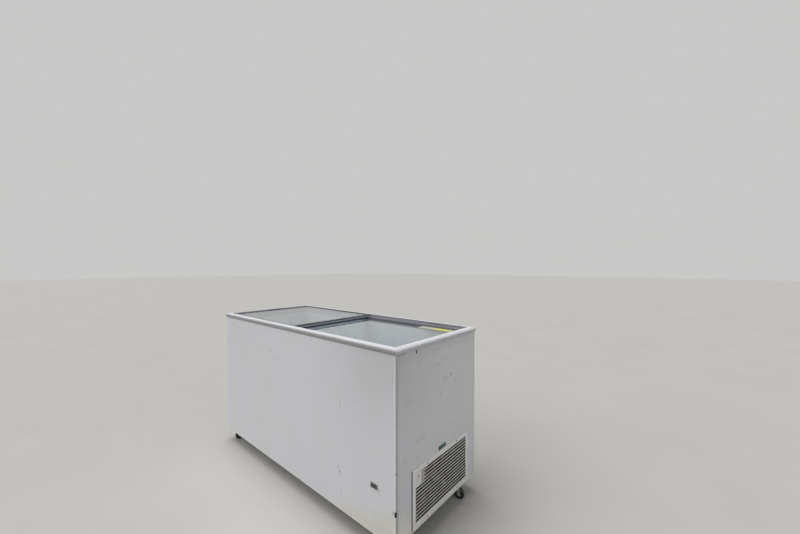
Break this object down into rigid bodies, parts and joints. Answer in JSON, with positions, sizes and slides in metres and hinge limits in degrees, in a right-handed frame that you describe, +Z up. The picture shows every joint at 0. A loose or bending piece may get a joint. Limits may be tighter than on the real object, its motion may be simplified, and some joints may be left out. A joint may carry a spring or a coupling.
{
  "type": "chest freezer with sliding glass lids",
  "caption": "Island chest freezer with sliding flat glass lids, louvred vent grille and swivel castors",
  "frame": {"origin": "on the floor under the middle of the cabinet", "axes": "+X along the cabinet towards the machine end with the grille, +Y from the front long side to the rear long side, +Z up"},
  "size_m": [1.534, 0.639, 0.85],
  "materials": {
    "steel_long": "white prepainted steel sheet, scuffed",
    "steel_end": "white prepainted steel sheet, scuffed",
    "galvanised": "galvanised sheet",
    "black_steel": "black painted steel",
    "insulation": null,
    "liner": "white coated aluminium sheet",
    "rim": "white extruded profile, smooth",
    "grille": "cream moulded plastic",
    "display": "dark window",
    "glass": "toughened clear glass",
    "lid_rail": "dark grey extruded plastic",
    "zinc": "zinc plated pressed steel",
    "tyre": "black solid tread"
  },
  "bodies": {
    "cabinet": {"front_panel": "steel_long", "rear_panel": "steel_long", "left_end_panel": "steel_end", "right_end_panel": "steel_end", "base_pan": "galvanised", "machine_tray": "galvanised", "castor_rail_left": "black_steel", "castor_rail_right": "black_steel", "insulation_front": "insulation", "insulation_rear": "insulation", "insulation_left": "insulation", "insulation_right": "insulation", "insulation_floor": "insulation", "insulation_bulkhead": "insulation", "insulation_step": "insulation", "tank_liner": "liner", "top_frame_front": "rim", "top_frame_rear": "rim", "top_frame_left": "rim", "top_frame_right": "rim", "vent_grille": "grille", "display_window": "display", "castor_plate_front_left": "zinc", "castor_plate_front_right": "zinc", "castor_plate_rear_left": "zinc", "castor_plate_rear_right": "zinc"},
    "lid_left": {"lid_left_glass": "glass", "lid_left_front_rail": "lid_rail", "lid_left_rear_rail": "lid_rail", "lid_left_handle_rail": "lid_rail", "lid_left_meeting_rail": "lid_rail"},
    "lid_right": {"lid_right_glass": "glass", "lid_right_front_rail": "lid_rail", "lid_right_rear_rail": "lid_rail", "lid_right_handle_rail": "lid_rail", "lid_right_meeting_rail": "lid_rail"},
    "fork_front_left": {"castor_fork_front_left": "zinc"},
    "wheel_front_left": {"castor_wheel_front_left": "tyre"},
    "fork_front_right": {"castor_fork_front_right": "zinc"},
    "wheel_front_right": {"castor_wheel_front_right": "tyre"},
    "fork_rear_left": {"castor_fork_rear_left": "zinc"},
    "wheel_rear_left": {"castor_wheel_rear_left": "tyre"},
    "fork_rear_right": {"castor_fork_rear_right": "zinc"},
    "wheel_rear_right": {"castor_wheel_rear_right": "tyre"}
  },
  "joints": [
    {"name": "lid_left_slide", "type": "slide", "parent": "cabinet", "child": "lid_left", "axis": [1, 0, 0], "range_m": [0, 0.722]},
    {"name": "lid_right_slide", "type": "slide", "parent": "cabinet", "child": "lid_right", "axis": [1, 0, 0], "range_m": [-0.6875, 0]},
    {"name": "castor_front_left_swivel", "type": "hinge", "parent": "cabinet", "child": "fork_front_left", "pos_m": [-0.69, -0.229, 0.057], "axis": [0, 0, 1], "continuous": true},
    {"name": "castor_front_left_roll", "type": "hinge", "parent": "fork_front_left", "child": "wheel_front_left", "pos_m": [-0.7022, -0.25641, 0.025], "axis": [0.9135, -0.4067, 0], "continuous": true},
    {"name": "castor_front_right_swivel", "type": "hinge", "parent": "cabinet", "child": "fork_front_right", "pos_m": [0.709, -0.192, 0.057], "axis": [0, 0, 1], "continuous": true},
    {"name": "castor_front_right_roll", "type": "hinge", "parent": "fork_front_right", "child": "wheel_front_right", "pos_m": [0.72262, -0.21873, 0.025], "axis": [0.891, 0.454, 0], "continuous": true},
    {"name": "castor_rear_left_swivel", "type": "hinge", "parent": "cabinet", "child": "fork_rear_left", "pos_m": [-0.69, 0.229, 0.057], "axis": [0, 0, 1], "continuous": true},
    {"name": "castor_rear_left_roll", "type": "hinge", "parent": "fork_rear_left", "child": "wheel_rear_left", "pos_m": [-0.68895, 0.19902, 0.025], "axis": [0.9994, 0.0349, 0], "continuous": true},
    {"name": "castor_rear_right_swivel", "type": "hinge", "parent": "cabinet", "child": "fork_rear_right", "pos_m": [0.709, 0.192, 0.057], "axis": [0, 0, 1], "continuous": true},
    {"name": "castor_rear_right_roll", "type": "hinge", "parent": "fork_rear_right", "child": "wheel_rear_right", "pos_m": [0.73798, 0.19976, 0.025], "axis": [-0.2588, 0.9659, 0], "continuous": true}
  ]
}
